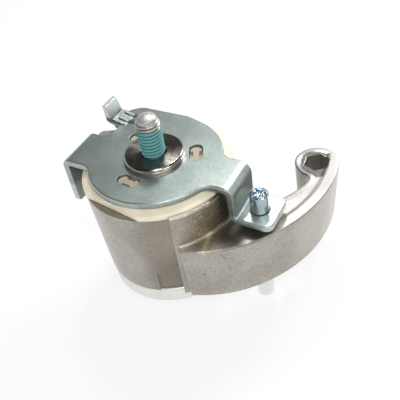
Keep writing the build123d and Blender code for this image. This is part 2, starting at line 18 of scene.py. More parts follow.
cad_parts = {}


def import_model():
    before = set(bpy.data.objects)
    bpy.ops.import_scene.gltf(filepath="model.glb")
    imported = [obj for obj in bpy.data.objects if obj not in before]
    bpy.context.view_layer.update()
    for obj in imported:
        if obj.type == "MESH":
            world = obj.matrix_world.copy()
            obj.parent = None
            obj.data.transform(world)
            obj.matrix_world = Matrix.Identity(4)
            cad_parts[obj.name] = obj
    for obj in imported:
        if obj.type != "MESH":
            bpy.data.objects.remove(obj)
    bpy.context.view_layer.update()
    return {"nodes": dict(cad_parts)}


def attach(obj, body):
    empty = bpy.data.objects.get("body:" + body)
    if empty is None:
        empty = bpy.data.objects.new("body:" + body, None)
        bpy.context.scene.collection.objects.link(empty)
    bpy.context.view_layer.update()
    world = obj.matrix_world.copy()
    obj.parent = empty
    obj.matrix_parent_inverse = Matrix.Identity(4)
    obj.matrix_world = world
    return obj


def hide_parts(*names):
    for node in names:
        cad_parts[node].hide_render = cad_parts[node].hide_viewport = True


MM = 0.001
Socket = bpy.types.NodeSocket
Feed = Socket | float | tuple[float, ...]
Span = tuple[float, float]
Point = tuple[float, float, float]
Colour = tuple[float, float, float]
Mark = tuple[Point, Point, float]
Feeds = dict[str, Feed]
Radius = float | Callable[[float, float], float]

log = logging.getLogger("tensioner")


class Effect(Enum):
    """Effects that several finishes share, each one shader node group."""

    CLOUDS = "tone_clouds"
    SPECKLE = "fine_speckle"
    SCRATCHES = "hairline_scratches"
    BEVELLED_EDGES = "bevelled_edges"
    SCUFF = "scuff_mark"
    RINGS = "turned_rings"


class NodeNet:
    """A node tree with short calls that add nodes and feed their inputs."""

    def __init__(self, tree: bpy.types.NodeTree) -> None:
        """Keeps the node tree of a material, world or group."""
        self.tree = tree

    def feed(self, socket: Socket, value: Feed) -> None:
        """Links a socket, or sets its own number, vector or colour.

        Args:
            socket: The input.
            value: Another node's output, or a plain value.
        """
        if isinstance(value, bpy.types.NodeSocket):
            self.tree.links.new(value, socket)
        else:
            socket.default_value = value

    def add(self, kind: str, feeds: dict[str | int, Feed] | None = None, **settings: Any) -> bpy.types.Node:
        """Adds a node.

        Args:
            kind: The node's type, without the ShaderNode that starts it.
            feeds: What each input gets, by its name or number.
            **settings: The node's own settings.

        Returns:
            The node.
        """
        node = self.tree.nodes.new("ShaderNode" + kind)
        for name, value in settings.items():
            setattr(node, name, value)
        for key, value in (feeds or {}).items():
            self.feed(node.inputs[key], value)
        return node

    def maths(self, operation: str, *values: Feed, clamp: bool = False) -> Socket:
        """Returns the result of a Math node on one to three values, clamped to 0 to 1 if asked."""
        return self.add("Math", dict(enumerate(values)), operation=operation, use_clamp=clamp).outputs[0]

    def times(self, *values: Feed) -> Socket:
        """Returns the product of two or more numbers."""
        return reduce(lambda product, value: self.maths("MULTIPLY", product, value), values)

    def weigh(self, first: Feed, share: float, second: Feed) -> Socket:
        """Returns the mean of two numbers, in which the first has a share and the second the rest."""
        return self.maths("ADD", self.times(first, share), self.times(second, 1.0 - share))

    def vector_maths(self, operation: str, *values: Feed) -> Socket:
        """Returns the result of a Vector Math node, which is a number for a length or a dot product."""
        outputs = self.add("VectorMath", dict(enumerate(values)), operation=operation).outputs
        return outputs["Value" if operation in ("LENGTH", "DOT_PRODUCT") else "Vector"]

    def scaled(self, vector: Feed, scale: Feed) -> Socket:
        """Returns a vector times a number."""
        return self.add("VectorMath", {0: vector, "Scale": scale}, operation="SCALE").outputs[0]

    def mix(self, factor: Feed, first: Feed, second: Feed) -> Socket:
        """Mixes two colours.

        Args:
            factor: The share of the second.
            first: The first colour.
            second: The second colour.

        Returns:
            The mixed colour.
        """
        feeds = {0: factor}
        for key, colour in ((6, first), (7, second)):
            feeds[key] = colour if isinstance(colour, bpy.types.NodeSocket) else (*colour, 1.0)
        return self.add("Mix", feeds, data_type="RGBA", clamp_result=True).outputs[2]

    def cover(self, under: Feed, mask: Feed, share: float, over: Feed) -> Socket:
        """Returns a colour with another laid over it where a mask says, by no more than a share."""
        return self.mix(self.times(mask, share), under, over)

    def remap(
        self, value: Feed, low: Feed, high: Feed, to_low: Feed = 0.0, to_high: Feed = 1.0, soft: bool = False
    ) -> Socket:
        """Maps one range of numbers to another, held at its ends.

        Args:
            value: The number.
            low: The range's low end.
            high: The range's high end.
            to_low: What the low end becomes.
            to_high: What the high end becomes.
            soft: Whether the ends ease in and out.

        Returns:
            The mapped number.
        """
        feeds = dict(enumerate((value, low, high, to_low, to_high)))
        kind = "SMOOTHSTEP" if soft else "LINEAR"
        return self.add("MapRange", feeds, interpolation_type=kind, clamp=True).outputs[0]

    def noise(self, place: Feed, scale: Feed, detail: float, rough: float = 0.5, warp: float = 0.0) -> Socket:
        """Adds a noise.

        Args:
            place: Where it is read.
            scale: How many of its blots fit a unit of place.
            detail: Its octaves.
            rough: The strength of its finer octaves.
            warp: How far it is distorted.

        Returns:
            The noise, from 0 to 1 and mostly near its middle.
        """
        feeds = {"Vector": place, "Scale": scale, "Detail": detail, "Roughness": rough, "Distortion": warp}
        return self.add("TexNoise", feeds).outputs[0]

    def ramp(self, value: Feed, stops: tuple[tuple[float, Colour], ...]) -> Socket:
        """Adds a colour ramp.

        Args:
            value: The place on the ramp.
            stops: The places of its colours, in order.

        Returns:
            The colour.
        """
        node = self.add("ValToRGB", {0: value})
        elements = node.color_ramp.elements
        while len(elements) < len(stops):
            elements.new(0.5)
        for element, (place, colour) in zip(elements, stops):
            element.position = place
            element.color = (*colour, 1.0)
        return node.outputs[0]

    def parts_of(self, vector: Socket) -> tuple[Socket, Socket, Socket]:
        """Returns a vector's x, y and z."""
        node = self.add("SeparateXYZ", {0: vector})
        return node.outputs[0], node.outputs[1], node.outputs[2]

    def from_axis(self, place: Socket, x: float = 0.0, y: float = 0.0) -> Socket:
        """Measures how far a place is from an upright axis.

        Args:
            place: The place.
            x: The axis's x, which is the bolt's if it isn't given.
            y: The axis's y, likewise.

        Returns:
            The distance.
        """
        moved = self.vector_maths("SUBTRACT", place, (x, y, 0.0))
        flat = self.vector_maths("MULTIPLY", moved, (1.0, 1.0, 0.0))
        return self.vector_maths("LENGTH", flat)

    def bump(self, height: Feed, depth: float, strength: float = 1.0, normal: Feed | None = None) -> Socket:
        """Adds a bump.

        Args:
            height: The height, from 0 to 1.
            depth: What a height of 1 is, in millimetres.
            strength: The bump's strength.
            normal: The normal it starts from, if that isn't the surface's own.

        Returns:
            The bumped normal.
        """
        feeds = {"Height": height, "Distance": depth * MM, "Strength": strength}
        if normal is not None:
            feeds["Normal"] = normal
        return self.add("Bump", feeds).outputs[0]


class EffectShelf:
    """The shared effects, each built once as a node group when it is first asked for."""

    def __init__(self) -> None:
        """Starts with an empty shelf."""
        self.made: dict[Effect, bpy.types.NodeTree] = {}

    def group(self, effect: Effect) -> bpy.types.NodeTree:
        """Finds or builds an effect's group.

        Args:
            effect: The effect.

        Returns:
            Its node group.
        """
        if effect not in self.made:
            builders: dict[Effect, Callable[[], bpy.types.NodeTree]] = {
                Effect.CLOUDS: self._clouds,
                Effect.SPECKLE: self._speckle,
                Effect.SCRATCHES: self._scratches,
                Effect.BEVELLED_EDGES: self._bevelled_edges,
                Effect.SCUFF: self._scuff,
                Effect.RINGS: self._rings,
            }
            self.made[effect] = builders[effect]()
        return self.made[effect]

    @staticmethod
    def _open(
        effect: Effect, inputs: dict[str, str], outputs: dict[str, str]
    ) -> tuple[NodeNet, dict[str, Socket], dict[str, Socket]]:
        """Starts a group with its sockets.

        Args:
            effect: The effect.
            inputs: The kind of each input besides Place.
            outputs: The kind of each output.

        Returns:
            The group's net, and what it is given and what it gives, by name.
        """
        tree = bpy.data.node_groups.new(effect.value, "ShaderNodeTree")
        for way, sockets in (("INPUT", {"Place": "Vector", **inputs}), ("OUTPUT", outputs)):
            for name, kind in sockets.items():
                tree.interface.new_socket(name=name, in_out=way, socket_type="NodeSocket" + kind)
        given = tree.nodes.new("NodeGroupInput").outputs
        gives = tree.nodes.new("NodeGroupOutput").inputs
        return NodeNet(tree), given, gives

    def _clouds(self) -> bpy.types.NodeTree:
        """Draws soft large blots of tone, from 0 to 1.

        Returns:
            The group.
        """
        net, given, gives = self._open(Effect.CLOUDS, {"Scale": "Float"}, {"Mask": "Float"})
        noise = net.noise(given["Place"], given["Scale"], 4.0, 0.55, 0.3)
        net.feed(gives["Mask"], net.remap(noise, 0.3, 0.7, soft=True))
        return net.tree

    def _speckle(self) -> bpy.types.NodeTree:
        """Draws a fine crystalline speckle, as a mask and as a height.

        Returns:
            The group.
        """
        outputs = {"Mask": "Float", "Height": "Float"}
        net, given, gives = self._open(Effect.SPECKLE, {"Scale": "Float"}, outputs)
        noise = net.noise(given["Place"], given["Scale"], 3.0, 0.65)
        cells = net.add("TexVoronoi", {"Vector": given["Place"], "Scale": given["Scale"]}, feature="F1")
        tint = net.parts_of(cells.outputs["Color"])[0]
        net.feed(gives["Mask"], net.weigh(net.remap(noise, 0.32, 0.68), 0.65, tint))
        net.feed(gives["Height"], net.maths("ADD", noise, net.times(cells.outputs["Distance"], 0.5)))
        return net.tree

    def _scratches(self) -> bpy.types.NodeTree:
        """Draws sparse hairline scratches that run two ways, as a mask.

        Returns:
            The group.
        """
        inputs = {"Scale": "Float", "Amount": "Float"}
        net, given, gives = self._open(Effect.SCRATCHES, inputs, {"Mask": "Float"})
        masks = []
        for turn, stretch in ((0.45, 0.07), (-0.95, 0.1)):
            turned = net.add("Mapping", {"Vector": given["Place"], "Rotation": (0.25, 0.1, turn)})
            thin = net.vector_maths("MULTIPLY", turned.outputs[0], (stretch, 1.0, 1.0))
            lines = net.noise(thin, given["Scale"], 1.0, 0.5)
            line = net.maths("ABSOLUTE", net.maths("SUBTRACT", lines, 0.5))
            masks.append(net.remap(line, 0.0, 0.02, 1.0, 0.0))
        patches = net.noise(given["Place"], net.times(given["Scale"], 0.35), 1.0)
        bare_below = net.maths("SUBTRACT", 0.75, net.times(given["Amount"], 0.35))
        where = net.remap(patches, bare_below, 0.8)
        both = net.maths("MAXIMUM", masks[0], net.times(masks[1], 0.6))
        net.feed(gives["Mask"], net.maths("MULTIPLY", both, where, clamp=True))
        return net.tree

    def _bevelled_edges(self) -> bpy.types.NodeTree:
        """Draws a mask of the edges, broken up a little, which the finishes use for wear and for painted
        highlights, and the normal that rounds them.

        Returns:
            The group.
        """
        outputs = {"Mask": "Float", "Normal": "Vector"}
        net, given, gives = self._open(Effect.BEVELLED_EDGES, {"Radius": "Float"}, outputs)
        radius = net.times(given["Radius"], MM)
        rounded = net.add("Bevel", {"Radius": radius}, samples=6).outputs[0]
        flat = net.add("NewGeometry").outputs["Normal"]
        agree = net.vector_maths("DOT_PRODUCT", rounded, flat)
        uneven = net.noise(given["Place"], 1.1, 3.0, 0.6)
        edge = net.remap(agree, 0.995, 0.85)
        net.feed(gives["Mask"], net.times(edge, net.remap(uneven, 0.3, 0.6, 0.35, 1.0)))
        net.feed(gives["Normal"], rounded)
        return net.tree

    def _scuff(self) -> bpy.types.NodeTree:
        """Draws one short rubbed or dented line between two points, as a mask.

        Returns:
            The group.
        """
        inputs = {"Start": "Vector", "End": "Vector", "Width": "Float"}
        net, given, gives = self._open(Effect.SCUFF, inputs, {"Mask": "Float"})
        run = net.vector_maths("SUBTRACT", given["End"], given["Start"])
        away = net.vector_maths("SUBTRACT", given["Place"], given["Start"])
        dot = net.vector_maths("DOT_PRODUCT", away, run)
        length = net.vector_maths("DOT_PRODUCT", run, run)
        share = net.maths("DIVIDE", dot, length, clamp=True)
        along = net.scaled(run, share)
        gap = net.vector_maths("SUBTRACT", away, along)
        apart = net.vector_maths("LENGTH", gap)
        ragged = net.times(net.noise(given["Place"], 3.0, 2.0, 0.6), given["Width"])
        reach = net.times(given["Width"], 1.3)
        net.feed(gives["Mask"], net.remap(net.maths("ADD", apart, ragged), 0.0, reach, 1.0, 0.0, soft=True))
        return net.tree

    def _rings(self) -> bpy.types.NodeTree:
        """Draws the fine rings that a lathe tool leaves about the bolt axis, as a height.

        Returns:
            The group.
        """
        net, given, gives = self._open(Effect.RINGS, {"Scale": "Float"}, {"Height": "Float"})
        height = net.parts_of(given["Place"])[2]
        across = net.add("CombineXYZ", {0: net.from_axis(given["Place"]), 1: height}).outputs[0]
        net.feed(gives["Height"], net.noise(across, given["Scale"], 2.0, 0.6))
        return net.tree


class SurfaceNet(NodeNet):
    """A material's nodes, with the shared effects and the surface's place in millimetres at hand."""

    def __init__(self, tree: bpy.types.NodeTree, shelf: EffectShelf) -> None:
        """Starts the nodes with the surface's place.

        Args:
            tree: The material's node tree.
            shelf: The shared effects.
        """
        super().__init__(tree)
        self.shelf = shelf
        self.place = self.scaled(self.add("TexCoord").outputs["Object"], 1 / MM)
        self.x, self.y, self.z = self.parts_of(self.place)

    def put(self, effect: Effect, **feeds: Feed) -> bpy.types.NodeOutputs:
        """Puts a shared effect in the material.

        Args:
            effect: The effect.
            **feeds: What its inputs get, besides its place.

        Returns:
            The effect's outputs, by name.
        """
        node = self.tree.nodes.new("ShaderNodeGroup")
        node.node_tree = self.shelf.group(effect)
        for name, value in {"Place": self.place, **feeds}.items():
            self.feed(node.inputs[name], value)
        return node.outputs

    def scuff(self, mark: Mark) -> Socket:
        """Returns the mask of a mark between two points, with its width."""
        return self.put(Effect.SCUFF, Start=mark[0], End=mark[1], Width=mark[2])["Mask"]

    def radius(self, x: float = 0.0, y: float = 0.0) -> Socket:
        """Returns the distance from an upright axis, which is the bolt's unless x and y are given."""
        return self.from_axis(self.place, x, y)

    def sector(self, rise_deg: Span, fall_deg: Span, soft_fall: bool = True) -> Socket:
        """Masks a sector about the bolt axis.

        Args:
            rise_deg: The angles over which it fades in.
            fall_deg: The angles over which it fades out.
            soft_fall: Whether the fading out eases in and out.

        Returns:
            The mask.
        """
        angle = self.maths("ARCTAN2", self.y, self.x)
        rise = self.remap(angle, *map(math.radians, rise_deg), soft=True)
        fall = self.remap(angle, *map(math.radians, fall_deg), 1.0, 0.0, soft=soft_fall)
        return self.times(rise, fall)


@dataclass(frozen=True)
class Finish:
    """A surface finish, which makes one material."""

    name: str

    def wire(self, net: SurfaceNet) -> Feeds:
        """Builds the finish's nodes, and returns what each input of the Principled shader gets."""
        raise NotImplementedError(self.name)

    def make(self, shelf: EffectShelf) -> bpy.types.Material:
        """Makes the material.

        Args:
            shelf: The shared effects.

        Returns:
            The material.
        """
        material = bpy.data.materials.new(self.name)
        material.use_nodes = True
        material.node_tree.nodes.clear()
        net = SurfaceNet(material.node_tree, shelf)
        feeds = {
            key: (*value, 1.0) if isinstance(value, tuple) and key.endswith("Color") else value
            for key, value in self.wire(net).items()
        }
        shader = net.add("BsdfPrincipled", feeds)
        net.add("OutputMaterial", {"Surface": shader.outputs[0]})
        return material


@dataclass(frozen=True)
class PlatedZinc(Finish):
    """Zinc-plated steel: cool grey with a crystalline speckle, bright along its edges from wear and as
    painted highlight, with painted shade on the folds' upright faces and the finger's neck, and painted light
    on the finger.
    """

    light: Colour = (0.64, 0.725, 0.68)
    dark: Colour = (0.29, 0.35, 0.33)
    edge: Colour = (0.90, 0.92, 0.90)
    fold_shade: Colour = (0.13, 0.145, 0.13)
    fold_shade_share: float = 0.7
    neck_shade: Colour = (0.05, 0.056, 0.056)
    dent: Colour = (0.16, 0.19, 0.2)
    roughness: float = 0.34
    roughness_spread: float = 0.10
    metallic: float = 0.85
    fold_low_z: float = -13.0
    fold_high_z: float = -3.15
    neck_low_z: float = -2.2
    neck_high_z: float = -0.5
    finger_rise: float = 4.0
    scuffs: tuple[Mark, ...] = ()

    def _fold_light_and_shade(self, net: SurfaceNet, colour: Socket) -> Socket:
        """Paints shade on the folds' upright faces and on the finger's neck, and paints the finger lighter
        towards its top.

        Args:
            net: The material's nodes.
            colour: The plating's colour.

        Returns:
            The colour with its painted shade and painted light.
        """
        # Painted shade on the folds' upright faces, fading towards their top and weaker on the left.
        slope = net.maths("ABSOLUTE", net.parts_of(net.add("NewGeometry").outputs["Normal"])[2])
        upright = net.remap(slope, 0.35, 0.7, self.fold_shade_share, 0.0)
        low = net.remap(net.z, self.fold_low_z - 0.5, self.fold_low_z + 0.5)
        high = net.remap(net.z, self.fold_high_z - 0.35, self.fold_high_z + 0.35, 1.0, 0.3)
        bracket = net.remap(net.x, 3.0, 10.0, 0.45, 1.0)
        colour = net.mix(net.times(upright, low, high, bracket), colour, self.fold_shade)
        # Painted shade on the finger's neck.
        neck_low = net.remap(net.z, self.neck_low_z - 0.25, self.neck_low_z)
        neck_high = net.remap(net.z, self.neck_high_z - 0.3, self.neck_high_z, 1.0, 0.0)
        colour = net.cover(colour, net.times(neck_low, neck_high), 0.85, self.neck_shade)
        # Painted light: the finger is painted lighter towards its top.
        finger = net.remap(net.z, self.neck_high_z, self.neck_high_z + self.finger_rise, 0.0, 0.45)
        return net.mix(finger, colour, self.edge)

    def wire(self, net: SurfaceNet) -> Feeds:
        """Builds the plating's nodes.

        Args:
            net: The material's nodes.

        Returns:
            What each input of the Principled shader gets.
        """
        speckle = net.put(Effect.SPECKLE, Scale=1.7)
        clouds = net.put(Effect.CLOUDS, Scale=0.10)["Mask"]
        colour = net.mix(net.weigh(speckle["Mask"], 0.6, clouds), self.dark, self.light)
        lines = net.put(Effect.SCRATCHES, Scale=1.4, Amount=0.5)["Mask"]
        colour = net.cover(colour, lines, 0.35, self.edge)
        bevelled = net.put(Effect.BEVELLED_EDGES, Radius=0.35)
        # The edges are painted bright, partly as wear on the plating and partly as painted highlight.
        colour = net.cover(colour, bevelled["Mask"], 0.6, self.edge)
        colour = self._fold_light_and_shade(net, colour)
        dull = self.roughness + self.roughness_spread
        rough = net.remap(speckle["Mask"], 0.0, 1.0, dull, self.roughness)
        height = speckle["Height"]
        for scuff in self.scuffs:
            mark = net.scuff(scuff)
            colour = net.cover(colour, mark, 0.55, self.dent)
            height = net.maths("SUBTRACT", height, mark)
        normal = net.bump(height, 0.012, 0.6, bevelled["Normal"])
        return {"Base Color": colour, "Metallic": self.metallic, "Roughness": rough, "Normal": normal}


@dataclass(frozen=True)
class TurnedSteel(Finish):
    """Steel turned on a lathe, whose rings draw the light out into streaks towards the axis, with a painted
    highlight on its rim and side.
    """

    light: Colour = (0.44, 0.41, 0.37)
    dark: Colour = (0.30, 0.28, 0.25)
    rim: Colour = (0.95, 0.88, 0.78)
    rim_z: float = -0.3
    roughness: float = 0.18

    def wire(self, net: SurfaceNet) -> Feeds:
        """Builds the turned surface's nodes.

        Args:
            net: The material's nodes.

        Returns:
            What each input of the Principled shader gets.
        """
        rings = net.put(Effect.RINGS, Scale=3.0)["Height"]
        clouds = net.put(Effect.CLOUDS, Scale=0.35)["Mask"]
        tone = net.weigh(rings, 0.7, clouds)
        colour = net.mix(net.remap(tone, 0.3, 0.7), self.dark, self.light)
        # Painted highlight: the flange's rim and side, below rim_z, are painted pale.
        below = net.remap(net.z, self.rim_z, self.rim_z - 0.3)
        colour = net.cover(colour, below, 0.5, self.rim)
        rough = net.remap(clouds, 0.0, 1.0, self.roughness, self.roughness + 0.05)
        bevelled = net.put(Effect.BEVELLED_EDGES, Radius=0.12)
        return {
            "Base Color": colour,
            "Metallic": 1.0,
            "Roughness": rough,
            "Anisotropic": 0.7,
            "Anisotropic Rotation": 0.25,
            "Tangent": net.add("Tangent", direction_type="RADIAL", axis="Z").outputs[0],
            "Normal": net.bump(rings, 0.0004, 0.2, bevelled["Normal"]),
        }


@dataclass(frozen=True)
class MouldedPlastic(Finish):
    """Moulded plastic with faint flow tones and a satin skin, with painted shade on its lugs."""

    light: Colour = (0.82, 0.75, 0.60)
    dark: Colour = (0.72, 0.64, 0.48)
    grime: Colour = (0.42, 0.34, 0.22)
    lug_shade: Colour = (0.35, 0.305, 0.23)
    lug_shade_from_z: float = 100.0
    roughness: float = 0.42

    def wire(self, net: SurfaceNet) -> Feeds:
        """Builds the plastic's nodes.

        Args:
            net: The material's nodes.

        Returns:
            What each input of the Principled shader gets.
        """
        clouds = net.put(Effect.CLOUDS, Scale=0.16)["Mask"]
        speckle = net.put(Effect.SPECKLE, Scale=3.0)
        colour = net.mix(net.weigh(clouds, 0.7, speckle["Mask"]), self.dark, self.light)
        lines = net.put(Effect.SCRATCHES, Scale=1.0, Amount=0.5)["Mask"]
        colour = net.cover(colour, lines, 0.2, self.grime)
        # Painted shade on the lugs, where they sit down in the plate's slots.
        lugs = net.remap(net.z, self.lug_shade_from_z - 0.1, self.lug_shade_from_z + 0.1)
        colour = net.cover(colour, lugs, 0.85, self.lug_shade)
        rough = net.remap(speckle["Mask"], 0.0, 1.0, self.roughness - 0.05, self.roughness + 0.08)
        bevelled = net.put(Effect.BEVELLED_EDGES, Radius=0.25)
        normal = net.bump(speckle["Height"], 0.008, 0.5, bevelled["Normal"])
        return {"Base Color": colour, "Metallic": 0.0, "Roughness": rough, "Normal": normal}


@dataclass(frozen=True)
class CastAluminium(Finish):
    """Die-cast aluminium, tumbled to a warm satin, olive at the arm's root and milled on its dished top, with
    painted shade in its crease, beside its boss and at its root, and painted highlights on its upper edges,
    towards its end and at its root.
    """

    light: Colour = (0.575, 0.54, 0.475)
    dark: Colour = (0.225, 0.20, 0.163)
    gold_speck: Colour = (0.56, 0.46, 0.26)
    olive: Colour = (0.13, 0.11, 0.072)
    soot_and_shade: Colour = (0.075, 0.07, 0.06)
    brown: Colour = (0.20, 0.17, 0.13)
    milled: Colour = (0.22, 0.225, 0.24)
    glint: Colour = (1.0, 0.88, 0.62)
    edge: Colour = (0.92, 0.90, 0.86)
    roughness: float = 0.46
    glossy_roughness: float = 0.24
    wall_r: float = 26.8
    arm_top_z: float = -18.5
    dish_depth: float = 0.3
    olive_rise_deg: Span = (-84.0, -66.0)
    olive_fall_deg: Span = (-48.0, -36.0)
    brown_rise_deg: Span = (-122.0, -97.0)
    brown_fall_deg: Span = (-87.0, -85.0)
    boss_axis: Span = (54.612, 2.325)
    boss_r: float = 7.5
    back_axis: Span = (15.3, 19.5)
    back_r: float = 50.6
    rim_width: float = 4.0
    # A painted golden glint on the arm's top at its root.
    glints: tuple[Mark, ...] = (((13.6, -23.4, -18.5), (10.3, -30.2, -18.5), 2.3),)
    nicks: tuple[Mark, ...] = (
        ((17.6, -30.53, -27.5), (18.1, -30.44, -28.8), 0.38),
        ((15.5, -30.92, -20.3), (17.0, -30.75, -23.2), 0.25),
        ((19.8, -30.4, -27.3), (22.3, -30.2, -26.2), 0.25),
        ((8.7, -29.67, -30.0), (10.3, -29.98, -29.5), 0.35),
        ((1.26, -24.17, -29.2), (1.26, -24.17, -29.8), 0.4),
    )

    def _skin(self, net: SurfaceNet, tone: Socket) -> Socket:
        """Colours the tumbled skin, with its pores and hairlines.

        Args:
            net: The material's nodes.
            tone: The grain's tone, from 0 to 1.

        Returns:
            The colour.
        """
        colour = net.mix(tone, self.dark, self.light)
        pores = net.remap(net.noise(net.place, 1.1, 3.0, 0.6), 0.66, 0.74)
        colour = net.cover(colour, pores, 0.45, self.soot_and_shade)
        lines = net.put(Effect.SCRATCHES, Scale=0.9, Amount=0.8)["Mask"]
        return net.cover(colour, lines, 0.3, self.soot_and_shade)

    def _olive_wall(self, net: SurfaceNet, colour: Socket) -> Socket:
        """Darkens the thick wall and the arm's root to olive with golden specks in it, and paints shade in
        the crease at the foot of the wall.

        Args:
            net: The material's nodes.
            colour: The casting's colour.

        Returns:
            The colour with its olive, its specks and its painted shade.
        """
        near = net.remap(net.radius(), self.wall_r + 1.0, self.wall_r + 5.0, 1.0, 0.0, soft=True)
        above = net.remap(net.z, self.arm_top_z - 0.6, self.arm_top_z + 0.4)
        zone = net.times(net.sector(self.olive_rise_deg, self.olive_fall_deg), near, above)
        specks = net.remap(net.noise(net.place, 1.7, 4.0, 0.75), 0.50, 0.60)
        # Painted shade in the crease where the wall meets the arm's top.
        low = net.times(net.remap(net.z, self.arm_top_z + 0.6, self.arm_top_z + 1.3, 1.0, 0.0), zone)
        colour = net.cover(colour, low, 0.5, self.soot_and_shade)
        colour = net.cover(colour, zone, 0.75, self.olive)
        return net.cover(colour, net.times(zone, specks), 0.85, self.gold_speck)

    def _lightened_and_browned(self, net: SurfaceNet, colour: Socket) -> Socket:
        """Paints the arm lighter towards its end as painted light, and browns the drum's wall beside the
        step.

        Args:
            net: The material's nodes.
            colour: The casting's colour.

        Returns:
            The colour with its painted light and its brown.
        """
        # Painted light: the arm is painted lighter towards its end.
        colour = net.mix(net.remap(net.x, 38.0, 64.0, 0.0, 0.3), colour, self.edge)
        wall = net.sector(self.brown_rise_deg, self.brown_fall_deg, soft_fall=False)
        return net.mix(net.times(wall, net.remap(net.z, -20.0, -30.0, 0.5, 0.9)), colour, self.brown)

    def _marked(self, net: SurfaceNet, colour: Socket, height: Socket) -> tuple[Socket, Socket]:
        """Adds the painted golden glint at the root and the nicks in the outer faces.

        Args:
            net: The material's nodes.
            colour: The casting's colour.
            height: The grain's height.

        Returns:
            The marked colour and height.
        """
        # Painted highlight: the golden glint at the root.
        for glint in self.glints:
            mark = net.scuff(glint)
            specks = net.remap(net.noise(net.place, 1.7, 3.0, 0.7), 0.36, 0.56, 0.6, 1.0)
            colour = net.mix(net.times(mark, specks), colour, self.glint)
        for nick in self.nicks:
            mark = net.scuff(nick)
            colour = net.mix(net.remap(mark, 0.1, 0.5), colour, self.soot_and_shade)
            height = net.maths("SUBTRACT", height, net.times(mark, 2.0))
        return colour, height

    def _arm_top(self, net: SurfaceNet, colour: Socket) -> tuple[Socket, Socket]:
        """Tones the arm's top: the dish, the rim round it and the boss with its darkened top, with painted
        shade in the boss's socket and a painted shadow at the root.

        Args:
            net: The material's nodes.
            colour: The casting's colour.

        Returns:
            The toned colour, and the mask of the boss's milled face.
        """
        floor_z = self.arm_top_z - self.dish_depth
        above = net.remap(net.z, floor_z - 0.3, floor_z - 0.2)
        sunk = net.remap(net.z, floor_z + 0.1, floor_z + 0.18, 1.0, 0.0)
        level = net.remap(net.z, floor_z + 0.18, floor_z + 0.25)
        boss = net.remap(net.radius(*self.boss_axis), self.boss_r + 0.2, self.boss_r + 1.0, 1.0, 0.0)
        rim_r = self.back_r - self.rim_width
        within = net.remap(net.radius(*self.back_axis), rim_r, rim_r + 0.8, 0.92, 0.0)
        dished = net.times(above, sunk, net.remap(net.x, 24.0, 34.0))
        colour = net.cover(colour, dished, 0.55, self.milled)
        colour = net.mix(net.times(within, level, net.remap(net.x, 30.0, 38.0)), colour, self.milled)
        # The boss's top and the dish round it are darkened.
        colour = net.cover(colour, net.times(within, boss, above), 0.6, self.soot_and_shade)
        colour = net.mix(net.times(level, net.remap(net.x, 36.0, 56.0, 0.0, 0.55)), colour, self.milled)
        # Painted shadow of the bracket's foot on the arm's top at its root.
        root_start = net.remap(net.x, 13.0, 18.0, soft=True)
        root_end = net.remap(net.x, 27.0, 34.0, 0.6, 0.0, soft=True)
        clear = net.remap(net.radius(), self.wall_r + 0.4, self.wall_r + 1.2)
        colour = net.mix(net.times(root_start, root_end, clear, above), colour, self.soot_and_shade)
        # Painted shade on the boss's side, in the hollow of the arm.
        below = net.remap(net.z, floor_z - 0.3, floor_z - 0.9)
        colour = net.mix(net.times(boss, below, net.remap(net.x, 50.0, 46.5, 0.0, 0.7)), colour, self.soot_and_shade)
        return colour, net.times(boss, dished)

    def wire(self, net: SurfaceNet) -> Feeds:
        """Builds the casting's nodes.

        Args:
            net: The material's nodes.

        Returns:
            What each input of the Principled shader gets.
        """
        speckle = net.put(Effect.SPECKLE, Scale=2.5)
        tone = net.weigh(speckle["Mask"], 0.75, net.put(Effect.CLOUDS, Scale=0.07)["Mask"])
        colour = self._skin(net, tone)
        colour = self._olive_wall(net, colour)
        colour = self._lightened_and_browned(net, colour)
        bevelled = net.put(Effect.BEVELLED_EDGES, Radius=0.6)
        # Painted highlight along the upward-facing edges, which also get a lower roughness.
        facing_up = net.remap(net.parts_of(bevelled["Normal"])[2], 0.1, 0.45, 0.3, 1.0)
        edge_highlight = net.times(bevelled["Mask"], facing_up)
        colour = net.cover(colour, edge_highlight, 0.9, self.edge)
        colour, height = self._marked(net, colour, speckle["Height"])
        colour, milled = self._arm_top(net, colour)
        rough = net.remap(tone, 0.2, 0.8, self.roughness + 0.06, self.roughness - 0.04)
        rough = net.remap(net.maths("MAXIMUM", milled, edge_highlight), 0.0, 1.0, rough, self.glossy_roughness)
        return {
            "Base Color": colour,
            "Metallic": 1.0,
            "Roughness": rough,
            "Coat Weight": 0.8,
            "Coat Roughness": 0.3,
            "Normal": net.bump(height, 0.02, 0.6, bevelled["Normal"]),
        }


